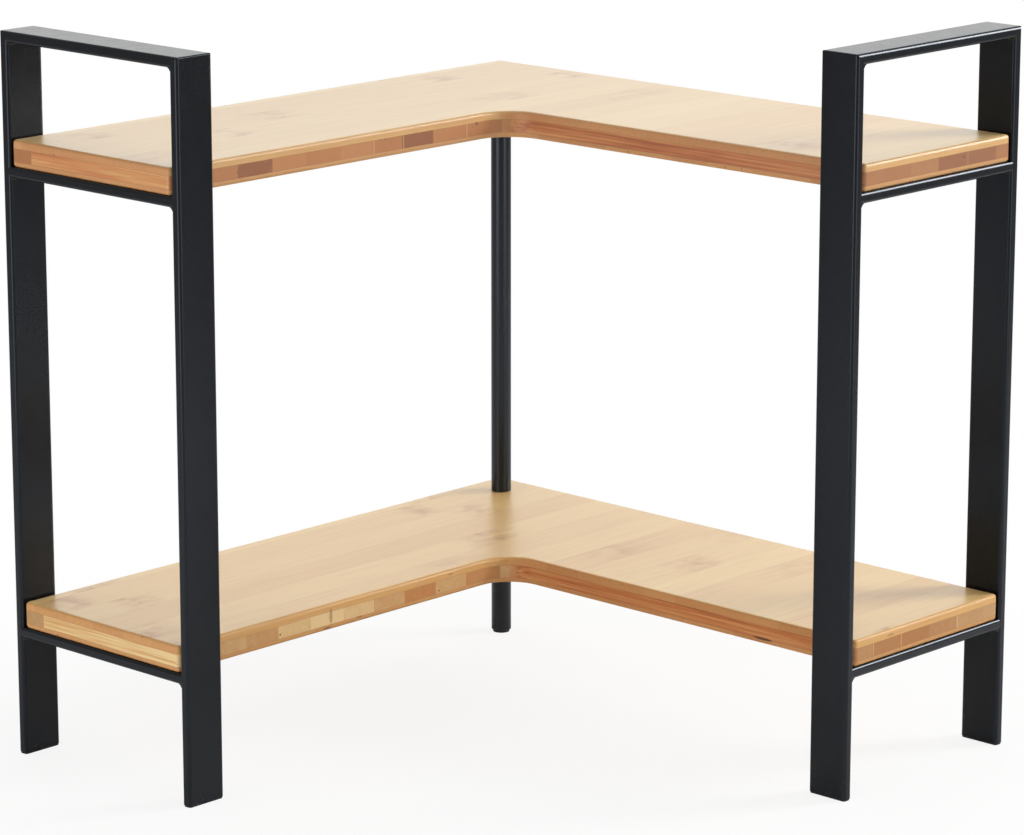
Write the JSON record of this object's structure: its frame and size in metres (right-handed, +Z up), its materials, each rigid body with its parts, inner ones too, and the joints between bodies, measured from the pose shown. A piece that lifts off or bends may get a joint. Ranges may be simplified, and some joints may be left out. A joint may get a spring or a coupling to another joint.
{
  "type": "corner shelf unit",
  "caption": "Corner shelf unit: L-shaped laminated bamboo boards on black flat-steel end frames with open handle-like tops, and a round steel post and foot at the back corner.",
  "frame": {"origin": "on the standing surface, at the middle of the square that the two frames and the back corner span", "axes": "+Z up; the back edges face -X and +Y, one arm runs along +X and the other along -Y, and the open inner corner faces +X and -Y"},
  "size_m": [0.39, 0.39, 0.4065],
  "materials": {
    "bamboo": "satin lacquer over three-ply bamboo",
    "black_steel": "satin black powder coat",
    "fastener_steel": "zinc plated",
    "insert_brass": "turned",
    "pad_rubber": "matt"
  },
  "bodies": {
    "root": {"corner_foot": "black_steel", "corner_foot_pad": "pad_rubber", "corner_post": "black_steel", "foot_stud": "fastener_steel", "left_frame_front_leg": "black_steel", "left_frame_lower_crossbar": "black_steel", "left_frame_rear_leg": "black_steel", "left_frame_top_bar": "black_steel", "left_frame_upper_crossbar": "black_steel", "left_frame_welds": "black_steel", "left_front_leg_pad": "pad_rubber", "left_rear_leg_pad": "pad_rubber", "lower_board": "bamboo", "lower_board_inserts": "insert_brass", "lower_board_screws": "fastener_steel", "post_insert": "insert_brass", "post_stud": "fastener_steel", "right_frame_front_leg": "black_steel", "right_frame_lower_crossbar": "black_steel", "right_frame_rear_leg": "black_steel", "right_frame_top_bar": "black_steel", "right_frame_upper_crossbar": "black_steel", "right_frame_welds": "black_steel", "right_front_leg_pad": "pad_rubber", "right_rear_leg_pad": "pad_rubber", "upper_board": "bamboo", "upper_board_inserts": "insert_brass", "upper_board_screws": "fastener_steel"}
  },
  "joints": []
}
